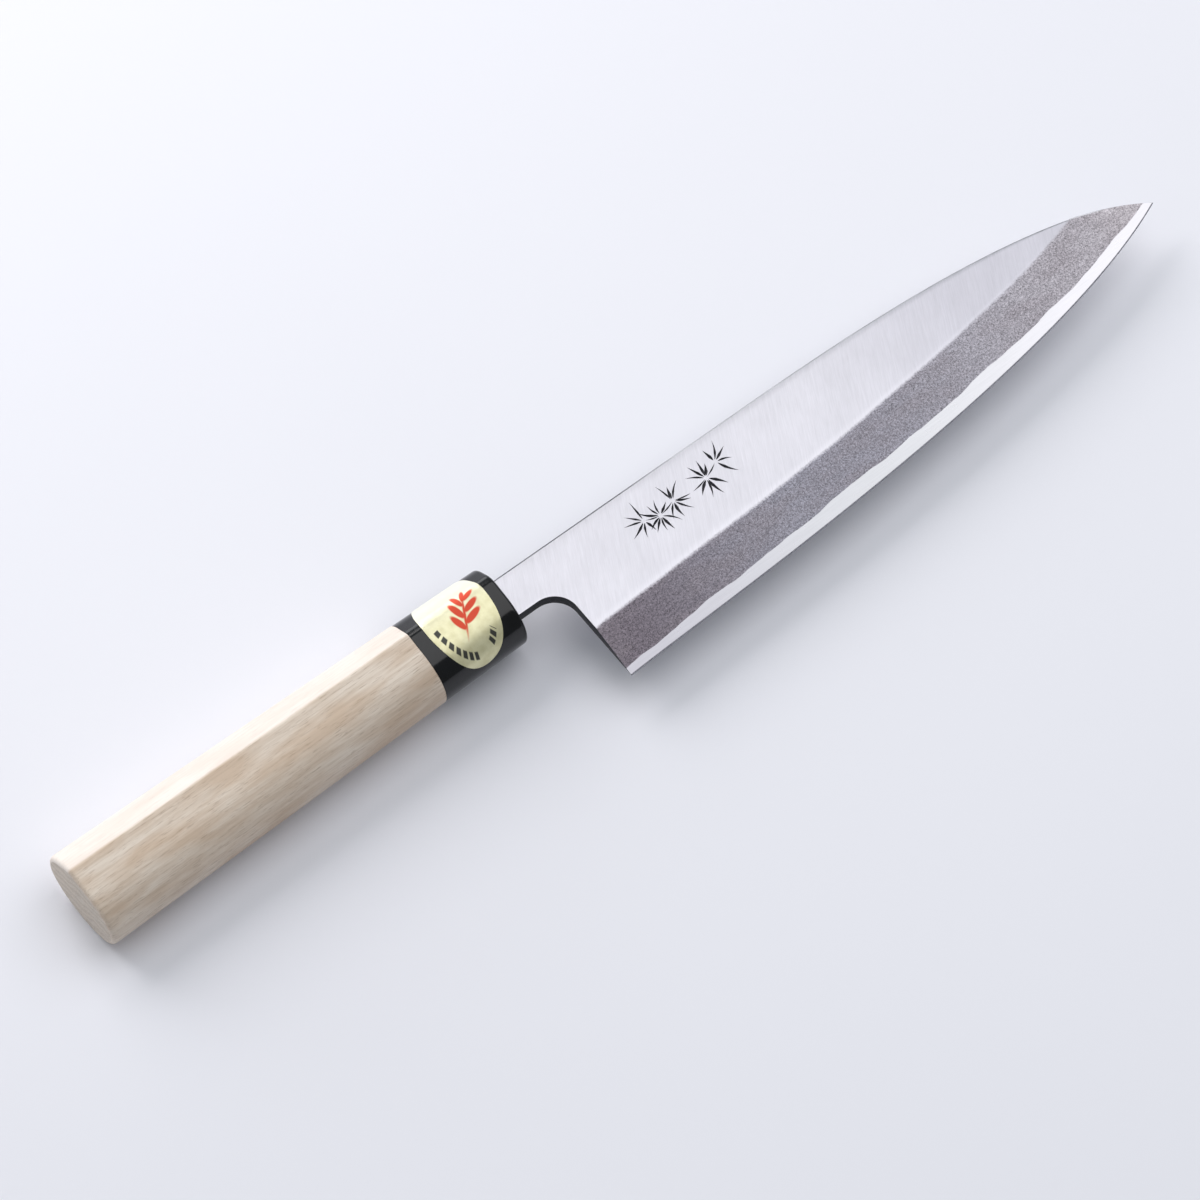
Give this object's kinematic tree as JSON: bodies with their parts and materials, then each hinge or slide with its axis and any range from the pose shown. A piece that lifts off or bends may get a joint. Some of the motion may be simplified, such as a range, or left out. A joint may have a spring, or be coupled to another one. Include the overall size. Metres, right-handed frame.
{
  "type": "japanese chef knife",
  "caption": "Right-handed Japanese chef knife with a laminated single-bevel blade, black ferrule, foil label and D-shaped wooden handle.",
  "frame": {"origin": "under the middle of the knife's bounding box, on the surface that the knife lies on", "axes": "+X from the butt to the tip, +Y from the cutting edge to the spine, +Z out of the right face of the blade"},
  "size_m": [0.318, 0.0472, 0.0214],
  "materials": {
    "hard_steel": "finely honed, almost mirror bright",
    "soft_iron": "satin ground flat with a grainy matt bevel",
    "black_plastic": "polished",
    "gold_foil": "satin gold foil on paper",
    "tang_resin": "dull brown resin",
    "magnolia_wood": "sanded, unvarnished"
  },
  "bodies": {
    "root": {"hagane_edge": "hard_steel", "jigane_body": "soft_iron", "ferrule": "black_plastic", "label": "gold_foil", "tang_bedding": "tang_resin", "handle_wood": "magnolia_wood"}
  },
  "joints": []
}
